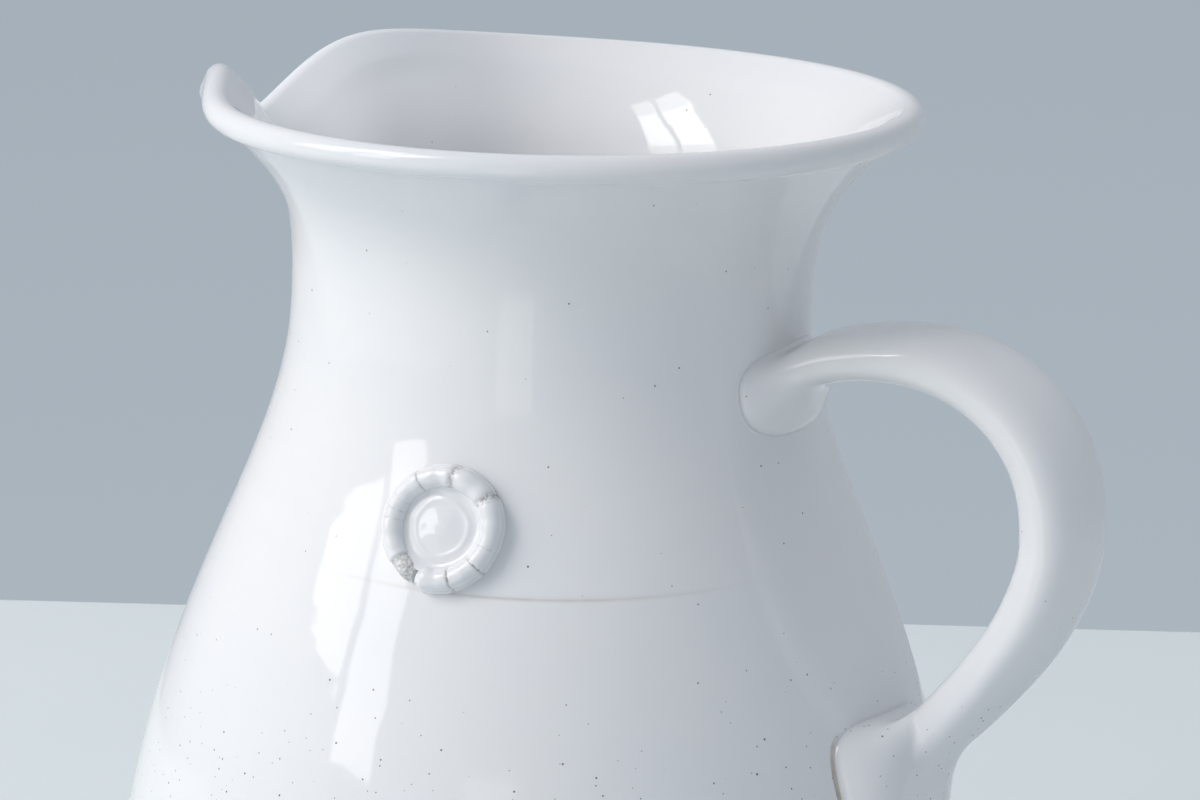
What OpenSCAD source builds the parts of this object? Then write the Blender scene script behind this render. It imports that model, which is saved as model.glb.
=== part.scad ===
// Hand-thrown ceramic pitcher, glazed white. Millimetres, +Z up, the origin at the centre of the foot,
// the spout towards -X, the handle towards +X and the applied seal on the -Y side.
// The clay pieces are joined with slip before firing: two thrown sections, a pulled strap handle,
// a pressed disc and a coil ring around it.

/* [Body] */
// Diameter of the belly at its widest
belly_d = 209.4; // [200:0.2:220]
// Height of the belly's widest place
belly_h = 60; // [54:1:70]
// Diameter of the neck at its narrowest
neck_d = 120; // [112:1:126]
// Height of the neck's narrowest place
neck_h = 254; // [250:1:258]
// Height of the joint between the two thrown sections
seam_h = 203; // [195:1:208]
// Thickness of the thrown wall
wall = 6; // [5:0.5:7]
// Diameter of the turned foot
foot_d = 160; // [150:1:168]
// Height of the turned foot ring
foot_h = 7; // [5:0.5:9]
// Depth of the hollow turned under the foot
foot_hollow = 4; // [2:0.5:5]
// Thickness of the floor
floor_t = 7; // [6:0.5:9]

/* [Rim and spout] */
// Height of the rolled lip's top above the table
rim_h = 300.2; // [298:0.2:304]
// Diameter over the rolled lip
rim_d = 166.6; // [160:0.2:172]
// Thickness of the rolled lip at the handle
lip_t = 6.6; // [6:0.2:7]
// Share of that thickness left at the rim's sides
lip_thin = 0.84; // [0.75:0.01:1]
// How far the spout's tip stands out beyond the round rim
spout_reach = 4.2; // [3:0.2:6]
// How far the spout's tip dips below the rim
spout_dip = 16.4; // [12:0.2:19]
// Half-width of the pouring channel, in degrees around the rim
spout_half = 13; // [10:0.5:14.5]
// How far the rim is pressed in at each side of the spout
pinch_in = 2.8; // [2:0.2:4]
// How far the rim rises at each side of the spout
shoulder_up = 3.8; // [2:0.1:4.4]
// How far the wall under the lip folds out at each side of the spout
spout_fold = 6.4; // [3:0.2:7]
// How far the lip leans in above those folds
lip_lean = 2.2; // [1:0.2:3]

/* [Handle] */
// Distance from the pitcher's axis to the middle of the strap at its furthest
handle_reach = 126; // [118:1:132]
// Height of the strap's furthest place
handle_mid_h = 211.5; // [208:0.5:216]
// Height of the upper root's middle
upper_root_h = 240; // [238:0.5:243]
// Height of the lower root's middle
lower_root_h = 147.5; // [143:0.5:151]
// Width of the strap at its middle
strap_w = 20.8; // [18:0.2:26]
// Thickness of the strap at its middle
strap_t = 17.4; // [14:0.2:19]
// Thickness of the strap near the lower root
strap_low_t = 15.6; // [13:0.2:18]
// Width of the strap near the upper root
strap_top_w = 26.6; // [20:0.2:28]
// Thickness of the strap near the upper root
strap_top_t = 11.4; // [10:0.2:14]
// Width and height of the upper root where it is pressed on
upper_root = [41, 20.6]; // [18:0.2:46]
// Width and height of the lower root where it is pressed on
lower_root = [52, 43]; // [40:0.5:60]

/* [Seal] */
// Diameter over the seal's coil ring
seal_d = 27.6; // [24:0.2:30]
// Width of the coil
coil_w = 4.2; // [3:0.1:5]
// Height of the coil above the wall
coil_h = 4; // [3:0.1:5]
// Height of the disc's middle above the wall
disc_h = 2.8; // [2:0.1:3.6]
// Height of the seal's middle
seal_z = 215.4; // [210:0.2:222]
// Bearing of the seal around the pitcher, in degrees from the handle
seal_bearing = -80; // [-100:0.5:-60]
// Angle of the gap between the coil's ends, in degrees
coil_gap = 20; // [10:1:40]

/* [Hidden] */

belly_r = belly_d / 2;
neck_r = neck_d / 2;
foot_r = foot_d / 2;
floor_h = foot_hollow + floor_t;
glaze = [0.93, 0.935, 0.94];
glaze_shade = [0.88, 0.89, 0.9];

// Outlines as cubic curves of [radius, height]: a start, two pulls and an end
body_curve = [
    [belly_r, belly_h],
    [belly_r, belly_h + 114],
    [neck_r, neck_h - 47.5],
    [neck_r, neck_h],
];
lip_r = (rim_d - lip_t) / 2;
lip_h = rim_h - lip_t / 2;
flare_curve = [
    [neck_r, neck_h],
    [neck_r, neck_h + 20],
    [lip_r - 14.5, lip_h - 15.8],
    [lip_r - 1.4, lip_h - 3.2],
];
foot_curve = [
    [foot_r + 1.5, foot_h],
    [foot_r + 12, foot_h + 4],
    [belly_r, belly_h - 30],
    [belly_r, belly_h],
];
inner_foot_curve = [
    [belly_r - wall, belly_h],
    [belly_r - wall, belly_h - 34],
    [foot_r + 8, floor_h],
    [foot_r - 20, floor_h],
];

// A point of a cubic curve, and the curve's direction there
function bezier(p, t) =
    pow(1 - t, 3) * p[0] + 3 * pow(1 - t, 2) * t * p[1] + 3 * (1 - t) * t * t * p[2] + pow(t, 3) * p[3];
function bezier_way(p, t) =
    pow(1 - t, 2) * (p[1] - p[0]) + 2 * (1 - t) * t * (p[2] - p[1]) + t * t * (p[3] - p[2]);
// Where a rising curve passes a height, by halving
function t_at(p, z, low = 0, high = 1, tries = 22) =
    let (mid = (low + high) / 2)
    tries == 0 ? mid :
    bezier(p, mid)[1] < z ? t_at(p, z, mid, high, tries - 1) : t_at(p, z, low, mid, tries - 1);
function unit(v) = v / norm(v);
function smooth(x) = let (u = min(1, max(0, x))) u * u * (3 - 2 * u);
function bump(x) = exp(-x * x);

// The outer wall: its radius, and its outward direction as [along the radius, upward]
function outline_at(z) = z < belly_h ? foot_curve : z < neck_h ? body_curve : flare_curve;
function wall_r(z) = let (p = outline_at(z)) bezier(p, t_at(p, z))[0];
function wall_out(z) =
    let (p = outline_at(z), way = unit(bezier_way(p, t_at(p, z))))
    [way[1], -way[0]];
function inner_r(z) = wall_r(z) - wall / wall_out(z)[0];
// A point on the outer wall: arc from a bearing, height, and distance outward
function on_wall(bearing, arc, z, out = 0) =
    let (r = wall_r(z), turn = bearing + arc / r * 180 / PI, way = wall_out(z))
    [(r + out * way[0]) * cos(turn), (r + out * way[0]) * sin(turn), z + out * way[1]];

// Triangles between rings of n points each, and a fan that closes a ring
function between(ring_a, ring_b, n) = [
    for (i = [0:n - 1])
        let (a = ring_a * n + i, b = ring_a * n + (i + 1) % n, c = ring_b * n + (i + 1) % n, d = ring_b * n + i)
        each [[a, b, c], [a, c, d]]
];
function tube_faces(rings, n) = [for (k = [0:rings - 2]) each between(k, k + 1, n)];
function flat(list) = [for (part = list) each part];

// Lower thrown section: floor, turned foot and belly, up to the joint
module belly() {
    seam_t = t_at(body_curve, seam_h);
    steps = 22;
    outer_low = [for (i = [0:12]) bezier(foot_curve, i / 12)];
    outer_high = [for (i = [1:steps]) bezier(body_curve, seam_t * i / steps)];
    inner_high = [
        for (i = [0:steps - 1])
            let (z = seam_h + (belly_h - seam_h) * i / steps)
            [inner_r(z), z]
    ];
    inner_low = [for (i = [0:14]) bezier(inner_foot_curve, i / 14)];
    foot_ring = [
        [0, foot_hollow],
        [foot_r - 14, foot_hollow - 0.4],
        [foot_r - 10, foot_hollow - 1.6],
        [foot_r - 8.5, 0.6],
        [foot_r - 7.5, 0],
        [foot_r - 1.6, 0],
        [foot_r - 0.5, 0.5],
        [foot_r, 1.6],
        [foot_r + 0.3, foot_h - 2],
        [foot_r - 0.4, foot_h - 0.9],
    ];
    color(glaze)
        rotate_extrude($fn = 180)
            polygon(concat(foot_ring, outer_low, outer_high, inner_high, inner_low, [[0, floor_h]]));
}

// Upper thrown section: neck, flared rim with its rolled lip, and the pulled spout
// Everything here is worked out from the turn, which is 0 at the spout and 180 at the handle
function rim_out(turn) =
    spout_reach * bump(turn / spout_half) - pinch_in * bump((turn - 37.5) / 14.4);
function rim_up(turn) =
    shoulder_up * bump((turn - 21.6) / 26.4) - spout_dip * bump(turn / (spout_half + 1));
// How far a height takes part in the rim's pull, in the fold below the lip, and in the lip's lean
function pull(z) = smooth((z - neck_h + 6) / (lip_h - neck_h + 4));
function fold(turn, z) = bump((turn - 24.5) / 15.3) * bump((z - lip_h + 9.5) / 5.1);
function lean(turn, z) = bump((turn - 26.7) / 12.6) * smooth((z - lip_h + 7.4) / 10);
// The lip is thinner at the rim's sides: a profile point near the lip moves towards the lip's middle
function lip_share(turn) = 1 - (1 - lip_thin) * bump((turn - 95) / 38);
function thinned(p, turn) =
    let (lip = [lip_r, lip_h], near = smooth(1 - (norm(p - lip) - lip_t / 2) / 8))
    lip + (p - lip) * (1 - near * (1 - lip_share(turn)));
// Where a profile point lands at a turn; the fold takes the inner wall a little lower down
function pulled(p, turn, inside) =
    let (q = thinned(p, turn), folded = spout_fold * fold(turn, q[1] - (inside ? 3.8 : 0)))
    [
        q[0] + pull(q[1]) * rim_out(turn) + folded - lip_lean * lean(turn, q[1]),
        q[1] + pull(q[1]) * rim_up(turn) - 0.4 * folded,
    ];
module neck() {
    seam_t = t_at(body_curve, seam_h);
    outer = concat(
        [for (i = [0:7]) bezier(body_curve, seam_t + (1 - seam_t) * i / 7)],
        [for (i = [1:10]) bezier(flare_curve, i / 10)]
    );
    roll = [for (a = [-85:27:135]) [lip_r + lip_t / 2 * cos(a), lip_h + lip_t / 2 * sin(a)]];
    inner_flare = [
        for (i = [9:-1:1])
            let (t = i / 10, way = unit(bezier_way(flare_curve, t)))
            bezier(flare_curve, t) + wall * 0.93 * [-way[1], way[0]]
    ];
    inner_low = [
        for (i = [0:7])
            let (z = neck_h + (seam_h - neck_h) * i / 7)
            [inner_r(z), z]
    ];
    profile = concat(outer, roll, inner_flare, inner_low);
    inside_from = len(outer) + 4;
    around = 90;
    n = len(profile);
    points = [
        for (k = [0:around - 1])
            let (u = 2 * k / around - 1, turn = 180 * u - 90 / PI * sin(180 * u))
            for (i = [0:n - 1])
                let (q = pulled(profile[i], abs(turn), i >= inside_from))
                [-q[0] * cos(turn), -q[0] * sin(turn), q[1]]
    ];
    faces = [
        for (k = [0:around - 1])
            let (next = (k + 1) % around)
            each between(k, next, n)
    ];
    color(glaze)
        polyhedron(points, faces, convexity = 6);
}

// Pulled strap handle: an oval strap whose two ends spread out and are pressed on the wall
handle_upper = [
    [handle_reach - 52.6, upper_root_h + 7.9],
    [handle_reach - 32.1, upper_root_h + 15.5],
    [handle_reach, handle_mid_h + 38.6],
    [handle_reach, handle_mid_h],
];
handle_lower = [
    [handle_reach, handle_mid_h],
    [handle_reach, handle_mid_h - 13],
    [handle_reach - 15.7, lower_root_h + 31.4],
    [handle_reach - 26, lower_root_h + 17.3],
];
handle_sides = 32;
// A rounded oval of half-sizes a and b: fullness 1 is an ellipse, less is squarer
function oval(i, half, fullness) =
    let (a = -360 * i / handle_sides, c = cos(a), s = sin(a))
    [half[0] * sign(c) * pow(abs(c), fullness), half[1] * sign(s) * pow(abs(s), fullness)];
// One cross-section ring of the strap, half[0] across and half[1] through the thickness
function strap_ring(curve, t, half) =
    let (p = bezier(curve, t), way = unit(bezier_way(curve, t)))
    [
        for (i = [0:handle_sides - 1])
            let (o = oval(i, half, 0.9))
            [p[0] - way[1] * o[1], o[0], p[1] + way[0] * o[1]]
    ];
// The same ring where the strap is pressed on the wall, scaled down towards its middle by share
function root_ring(h, half, up, share = 1, out = 0) = [
    for (i = [0:handle_sides - 1])
        let (o = oval(i, half, 0.8) * share)
        on_wall(0, o[0], h + up * o[1], out)
];
// Rings that lead from a strap ring, along the strap's way, to a root ring
function blend_rings(ring, way, foot, lift, steps) = [
    for (k = [1:steps - 1])
        [
            for (i = [0:handle_sides - 1])
                let (lead = 0.45 * max(1, (foot[i] - ring[i]) * way))
                bezier([ring[i], ring[i] + way * lead, lift[i], foot[i]], k / steps)
        ]
];
module handle() {
    top_half = [strap_top_w, strap_top_t] / 2;
    mid_half = [strap_w, strap_t] / 2;
    low_half = [strap_w, strap_low_t] / 2;
    upper_steps = 18;
    lower_steps = 12;
    upper_rings = [
        for (i = [0:upper_steps])
            let (t = i / upper_steps)
            strap_ring(handle_upper, t, top_half + (mid_half - top_half) * t)
    ];
    lower_rings = [
        for (i = [1:lower_steps])
            let (t = i / lower_steps)
            strap_ring(handle_lower, t, mid_half + (low_half - mid_half) * t)
    ];
    upper_way = unit(bezier_way(handle_upper, 0));
    lower_way = unit(bezier_way(handle_lower, 1));
    upper_half = upper_root / 2;
    lower_half = lower_root / 2;
    upper_foot = root_ring(upper_root_h, upper_half, 1);
    lower_foot = root_ring(lower_root_h, lower_half, -1);
    upper_lead = blend_rings(
        upper_rings[0], -[upper_way[0], 0, upper_way[1]], upper_foot,
        root_ring(upper_root_h, upper_half, 1, 0.97, 3.4), 8
    );
    lower_lead = blend_rings(
        lower_rings[lower_steps - 1], [lower_way[0], 0, lower_way[1]], lower_foot,
        root_ring(lower_root_h, lower_half, -1, 0.97, 3.4), 10
    );
    shares = [0.12, 0.45, 0.75];
    rings = concat(
        [for (share = shares) root_ring(upper_root_h, upper_half, 1, share)],
        [upper_foot],
        [for (k = [len(upper_lead) - 1:-1:0]) upper_lead[k]],
        upper_rings,
        lower_rings,
        lower_lead,
        [lower_foot],
        [for (k = [2:-1:0]) root_ring(lower_root_h, lower_half, -1, shares[k])]
    );
    count = len(rings);
    cap_start = [[for (i = [0:handle_sides - 1]) handle_sides - 1 - i]];
    cap_end = [[for (i = [0:handle_sides - 1]) (count - 1) * handle_sides + i]];
    color(glaze)
        polyhedron(flat(rings), concat(cap_start, tube_faces(count, handle_sides), cap_end), convexity = 6);
}

// Applied seal: a plain domed disc and a clay coil laid round it, both pressed on the neck
function seal_point(r, a, out) = on_wall(seal_bearing, r * cos(a), seal_z + r * sin(a) * wall_out(seal_z)[0], out);
module seal_disc() {
    around = 40;
    disc_r = seal_d / 2 - coil_w - 0.15;
    // [share of the radius, share of the height]: the flat back outward, then the domed face inward
    radii = concat(
        [for (s = [0.1, 0.5, 1]) [s, 0]],
        [for (s = [1, 0.97, 0.9, 0.75, 0.55, 0.35, 0.12]) [s, s > 0.99 ? 0.4 : 0.55 + 0.45 * bump(s / 0.45)]]
    );
    rings = [
        for (q = radii)
            [for (i = [0:around - 1]) seal_point(disc_r * q[0], -360 * i / around, disc_h * q[1])]
    ];
    count = len(rings);
    cap_back = [[for (i = [0:around - 1]) around - 1 - i]];
    cap_face = [[for (i = [0:around - 1]) (count - 1) * around + i]];
    color(glaze)
        polyhedron(flat(rings), concat(cap_back, tube_faces(count, around), cap_face), convexity = 4);
}
module seal_ring() {
    sides = 14;
    steps = 44;
    middle_r = (seal_d - coil_w) / 2;
    gap_at = -116;
    // The coil is flat where it is pressed on the wall and round above; its ends taper a little
    rings = [
        for (k = [0:steps])
            let (
                u = k / steps,
                a = gap_at + coil_gap / 2 + (360 - coil_gap) * u,
                full = 0.72 + 0.28 * smooth(min(u, 1 - u) * 25)
            )
            [
                for (i = [0:sides - 1])
                    let (b = 360 * i / sides + 180 / sides)
                    seal_point(
                        middle_r + coil_w / 2 * full * cos(b), a,
                        max(0, coil_h * full * (0.42 + 0.58 * sin(b)))
                    )
            ]
    ];
    count = len(rings);
    cap_start = [[for (i = [0:sides - 1]) sides - 1 - i]];
    cap_end = [[for (i = [0:sides - 1]) (count - 1) * sides + i]];
    color(glaze_shade)
        polyhedron(flat(rings), concat(cap_start, tube_faces(count, sides), cap_end), convexity = 4);
}

belly();
neck();
handle();
seal_disc();
seal_ring();
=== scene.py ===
"""A hand-thrown white pitcher on a pale table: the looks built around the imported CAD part.

Lengths are in metres and angles in degrees. A bearing is an angle about Z, from +X toward +Y. The
spout points to -X, the handle to +X, and the seal is near -Y.
"""

import math

import bpy
import numpy as np
from mathutils import Matrix, Vector


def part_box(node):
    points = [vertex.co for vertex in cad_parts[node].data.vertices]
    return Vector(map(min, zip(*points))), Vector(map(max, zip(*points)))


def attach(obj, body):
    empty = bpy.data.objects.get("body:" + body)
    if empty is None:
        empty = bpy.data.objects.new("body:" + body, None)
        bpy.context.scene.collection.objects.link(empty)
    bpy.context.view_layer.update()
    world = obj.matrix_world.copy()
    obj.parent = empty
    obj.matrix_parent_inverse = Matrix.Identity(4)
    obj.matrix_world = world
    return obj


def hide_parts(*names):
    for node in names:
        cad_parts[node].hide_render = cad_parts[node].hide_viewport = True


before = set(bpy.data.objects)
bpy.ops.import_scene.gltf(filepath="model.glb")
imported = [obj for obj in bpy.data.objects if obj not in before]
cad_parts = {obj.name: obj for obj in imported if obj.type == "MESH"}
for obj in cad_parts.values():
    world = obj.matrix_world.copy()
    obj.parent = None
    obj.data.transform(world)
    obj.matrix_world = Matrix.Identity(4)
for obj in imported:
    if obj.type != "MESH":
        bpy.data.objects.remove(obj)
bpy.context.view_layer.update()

MM = 0.001
belly_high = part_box("belly")[1]
neck_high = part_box("neck")[1]

# ---------------------------------------------------------------- driving dimensions
# R is a radius, T a thickness and H a height above the table. The belly leaves room for the
# wall's unevenness, and NECK_H is where the neck is narrowest
BELLY_R = belly_high.x - 0.3 * MM
BELLY_H = 60 * MM
SEAM_H = belly_high.z
NECK_R = 60 * MM
NECK_H = 254 * MM
WALL = 6 * MM
FOOT_R = 80 * MM
FOOT_H = 7 * MM
FLOOR_H = 11 * MM
# The lip's bead is round; LIP_R and LIP_H are its middle
LIP_T = 6.6 * MM
LIP_R = 80 * MM
LIP_H = neck_high.z - 6.6 * MM
UPPER_ROOT_H = 240 * MM
LOWER_ROOT_H = 147.5 * MM
HANDLE_REACH = 126.2 * MM
HANDLE_MID_H = 214.8 * MM
SEAL_R = 13.8 * MM
SEAL_H = 215.6 * MM
SEAL_BEARING = -80.3
COIL_W = 4.8 * MM
# How far the coil and the disc stand out from the wall
COIL_OUT = 4.6 * MM
DISC_OUT = 2.8 * MM


# ---------------------------------------------------------------- curves and small helpers
def bezier(pulls, t):
    """Points of a cubic curve at every t."""
    p = np.asarray(pulls, float)
    t = np.asarray(t, float)[..., None]
    return (1 - t) ** 3 * p[0] + 3 * (1 - t) ** 2 * t * p[1] + 3 * (1 - t) * t**2 * p[2] + t**3 * p[3]


def bezier_way(pulls, t):
    """Unit directions of a cubic curve at every t."""
    p = np.asarray(pulls, float)
    t = np.asarray(t, float)[..., None]
    way = (1 - t) ** 2 * (p[1] - p[0]) + 2 * (1 - t) * t * (p[2] - p[1]) + t**2 * (p[3] - p[2])
    return way / np.linalg.norm(way, axis=-1, keepdims=True)


def smooth(x):
    """0 up to 0, 1 from 1 on, and an eased climb between them."""
    x = np.clip(x, 0, 1)
    return x * x * (3 - 2 * x)


def bump(x):
    """A smooth hump, 1 at 0 and almost nothing beyond 2 on either side."""
    return np.exp(-np.square(x))


def turned_from(bearing, start):
    """The turn from a start to a bearing, from -180 to 180."""
    return (bearing - start + 180) % 360 - 180


# The outline's curves, as [radius, height]: the outside from foot to lip, then the foot's inside
FOOT = [
    (FOOT_R + 1.5 * MM, FOOT_H),
    (FOOT_R + 12 * MM, FOOT_H + 4 * MM),
    (BELLY_R, BELLY_H - 30 * MM),
    (BELLY_R, BELLY_H),
]
BODY = [
    (BELLY_R, BELLY_H),
    (BELLY_R, BELLY_H + 114 * MM),
    (NECK_R, NECK_H - 47.5 * MM),
    (NECK_R, NECK_H),
]
FLARE = [
    (NECK_R, NECK_H),
    (NECK_R, NECK_H + 20 * MM),
    (LIP_R - 14.5 * MM, LIP_H - 15.8 * MM),
    (LIP_R - 1.4 * MM, LIP_H - 3.2 * MM),
]
INNER_FOOT = [
    (BELLY_R - WALL, BELLY_H),
    (BELLY_R - WALL, BELLY_H - 34 * MM),
    (FOOT_R + 8 * MM, FLOOR_H),
    (FOOT_R - 20 * MM, FLOOR_H),
]

# The outer wall's outline as dense points, for looking up its radius and direction at a height
CURVE_STEPS = np.linspace(0, 1, 400)
OUTLINE = np.concatenate([bezier(curve, CURVE_STEPS)[:-1] for curve in (FOOT, BODY, FLARE)])
OUTLINE_WAY = np.concatenate([bezier_way(curve, CURVE_STEPS)[:-1] for curve in (FOOT, BODY, FLARE)])

# How far throwing rings, slow drifts round the wall and short waves move it, in mm
FINE_RINGS = 0.002
WIDE_RINGS = 0.012
DRIFT_OF_THREE = 0.10
DRIFT_OF_FIVE = 0.07
WAVES = 0.02


def wall_r(z):
    return np.interp(z, OUTLINE[:, 1], OUTLINE[:, 0])


def wall_out(z):
    """The outer wall's outward direction at a height, as [along the radius, upward]."""
    up = np.interp(z, OUTLINE[:, 1], OUTLINE_WAY[:, 0])
    along = np.interp(z, OUTLINE[:, 1], OUTLINE_WAY[:, 1])
    return np.stack([along, -up], -1)


def inner_r(z):
    return wall_r(z) - WALL / wall_out(z)[..., 0]


def thrown(bearing, z):
    """The small unevenness that throwing by hand leaves in a wall, in metres outward."""
    turn = np.radians(bearing)
    height = z / MM
    fine = FINE_RINGS * np.sin(height * 2.1 + 0.8 * np.sin(turn))
    wide = WIDE_RINGS * np.sin(height * 0.62 + 1.3 * np.sin(turn + 1))
    three = DRIFT_OF_THREE * np.sin(3 * turn + height * 0.021)
    five = DRIFT_OF_FIVE * np.sin(5 * turn - height * 0.043 + 2)
    waves = WAVES * np.sin(11 * turn + height * 0.05) * np.sin(height * 0.09 + 1)
    return (fine + wide + (three + five) + waves) * MM


def on_wall(bearing, arc, z, out=0.0):
    """A point on the outer wall: arc along it from a bearing, height, and distance outward."""
    r = wall_r(z)
    turn = np.radians(bearing) + arc / r
    way = wall_out(z)
    reach = r + out * way[..., 0] + thrown(np.degrees(turn), z)
    return np.stack([reach * np.cos(turn), reach * np.sin(turn), z + out * way[..., 1]], -1)


# Faces that meet at more than this keep a sharp edge
SHARP_ANGLE = 55


def make_piece(name, rings, node, material, closed_round=True, caps=(), attributes=None):
    """A mesh from a grid of points, rings x points, where each ring's points join round.

    closed_round also joins the last ring to the first. Each cap is a ring to close with a fan, and
    1 or -1 for the way it faces. attributes holds a value for every grid point, by name.
    """
    rings = np.asarray(rings, float)
    count, sides = rings.shape[:2]
    points = rings.reshape(-1, 3)
    last = count if closed_round else count - 1
    faces = []
    for ring in range(last):
        here = ring * sides
        beyond = ((ring + 1) % count) * sides
        for i in range(sides):
            j = (i + 1) % sides
            faces.append((here + i, here + j, beyond + j, beyond + i))
    for ring, way in caps:
        middle = len(points)
        points = np.vstack([points, rings[ring].mean(0)])
        edge = ring * sides
        for i in range(sides):
            j = (i + 1) % sides
            faces.append((edge + i, edge + j, middle)[::way])
    mesh = bpy.data.meshes.new(name)
    mesh.from_pydata(points.tolist(), [], faces)
    mesh.update()
    for key, values in (attributes or {}).items():
        layer = mesh.attributes.new(key, "FLOAT", "POINT")
        flat = np.zeros(len(points), np.float32)
        flat[: values.size] = values.ravel()
        layer.data.foreach_set("value", flat)
    mesh.shade_smooth()
    mesh.set_sharp_from_angle(angle=math.radians(SHARP_ANGLE))
    mesh.materials.append(material)
    piece = bpy.data.objects.new(name, mesh)
    bpy.context.scene.collection.objects.link(piece)
    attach(piece, "root")
    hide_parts(node)
    return piece


# ---------------------------------------------------------------- materials
class Nodes:
    """A material's node tree, with short calls to add and join nodes."""

    def __init__(self, name):
        self.material = bpy.data.materials.new(name)
        self.material.use_nodes = True
        self.tree = self.material.node_tree
        self.shader = self.tree.nodes["Principled BSDF"]

    def add(self, kind, settings=None, **values):
        """A new node, with its settings and its inputs' values or links; _ stands for a space."""
        node = self.tree.nodes.new(kind)
        for key, value in (settings or {}).items():
            setattr(node, key, value)
        for key, value in values.items():
            self.put(node.inputs[key.replace("_", " ")], value)
        return node

    def put(self, socket, value):
        if isinstance(value, bpy.types.NodeSocket):
            self.tree.links.new(value, socket)
        else:
            socket.default_value = value

    def maths(self, operation, a, b, clamp=False):
        node = self.tree.nodes.new("ShaderNodeMath")
        node.operation = operation
        node.use_clamp = clamp
        self.put(node.inputs[0], a)
        self.put(node.inputs[1], b)
        return node.outputs[0]

    def mix(self, share, a, b):
        node = self.tree.nodes.new("ShaderNodeMix")
        node.data_type = "RGBA"
        self.put(node.inputs["Factor"], share)
        self.put(node.inputs["A"], a)
        self.put(node.inputs["B"], b)
        return node.outputs["Result"]

    def noise(self, place, scale, **values):
        return self.add("ShaderNodeTexNoise", Vector=place, Scale=scale, **values).outputs[0]

    def spread(self, value, low, high):
        """A value stretched so that low becomes 0 and high becomes 1."""
        return self.add("ShaderNodeMapRange", Value=value, From_Min=low, From_Max=high).outputs[0]

    def attribute(self, name):
        return self.add("ShaderNodeAttribute", {"attribute_name": name}).outputs["Fac"]

    def place(self):
        return self.add("ShaderNodeTexCoord").outputs["Object"]


# Glaze colours: the main white, its cloudy tints, iron specks, stained creases and broken clay
WHITE = (0.80, 0.805, 0.815, 1)
COOL = (0.75, 0.775, 0.81, 1)
WARM = (0.81, 0.80, 0.785, 1)
IRON = (0.10, 0.068, 0.05, 1)
TAN = (0.42, 0.34, 0.27, 1)
CHIP = (0.27, 0.24, 0.205, 1)
COOL_SHARE = 0.55
WARM_SHARE = 0.5
IRON_SHARE = 0.85
LEAST_STAIN = 0.35
GLOSS_ROUGHNESS = 0.055
GLOSS_IOR = 1.52
PEEL_STRENGTH = 0.06
PEEL_DEPTH = 2 * MM

# Cell sizes of the two kinds of specks, each kind's usual radius as a share of its cell, and how
# many large ones there are beside the small ones
SMALL_CELL = 1.6 * MM
SMALL_SPOT = 0.11
LARGE_CELL = 4.0 * MM
LARGE_SPOT = 0.05
LARGE_SHARE = 0.7
# The least share of cells with a speck, and the smallest speck as a share of the usual one
FEWEST_SPECKS = 0.008
SMALLEST_SPECK = 0.45


def specks(nodes, cell, spot, few_at, many_at, most):
    """A mask of iron specks, at most one in each cell.

    most is the share of cells that have one at the height many_at; there are almost none at few_at.
    """
    place = nodes.place()
    cells = nodes.add("ShaderNodeTexVoronoi", {"feature": "F1"}, Vector=place, Scale=1 / cell)
    chance = nodes.add("ShaderNodeSeparateColor", Color=cells.outputs["Color"])
    height = nodes.add("ShaderNodeSeparateXYZ", Vector=place).outputs["Z"]
    share = nodes.add("ShaderNodeMapRange", Value=height, From_Min=many_at, From_Max=few_at)
    share.inputs["To Min"].default_value = most
    share.inputs["To Max"].default_value = FEWEST_SPECKS
    there = nodes.maths("LESS_THAN", chance.outputs["Red"], share.outputs[0])
    radius = nodes.maths("MULTIPLY_ADD", chance.outputs["Green"], spot)
    radius.node.inputs[2].default_value = spot * SMALLEST_SPECK
    inside = nodes.maths("LESS_THAN", cells.outputs["Distance"], radius)
    return nodes.maths("MULTIPLY", there, inside)


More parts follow.
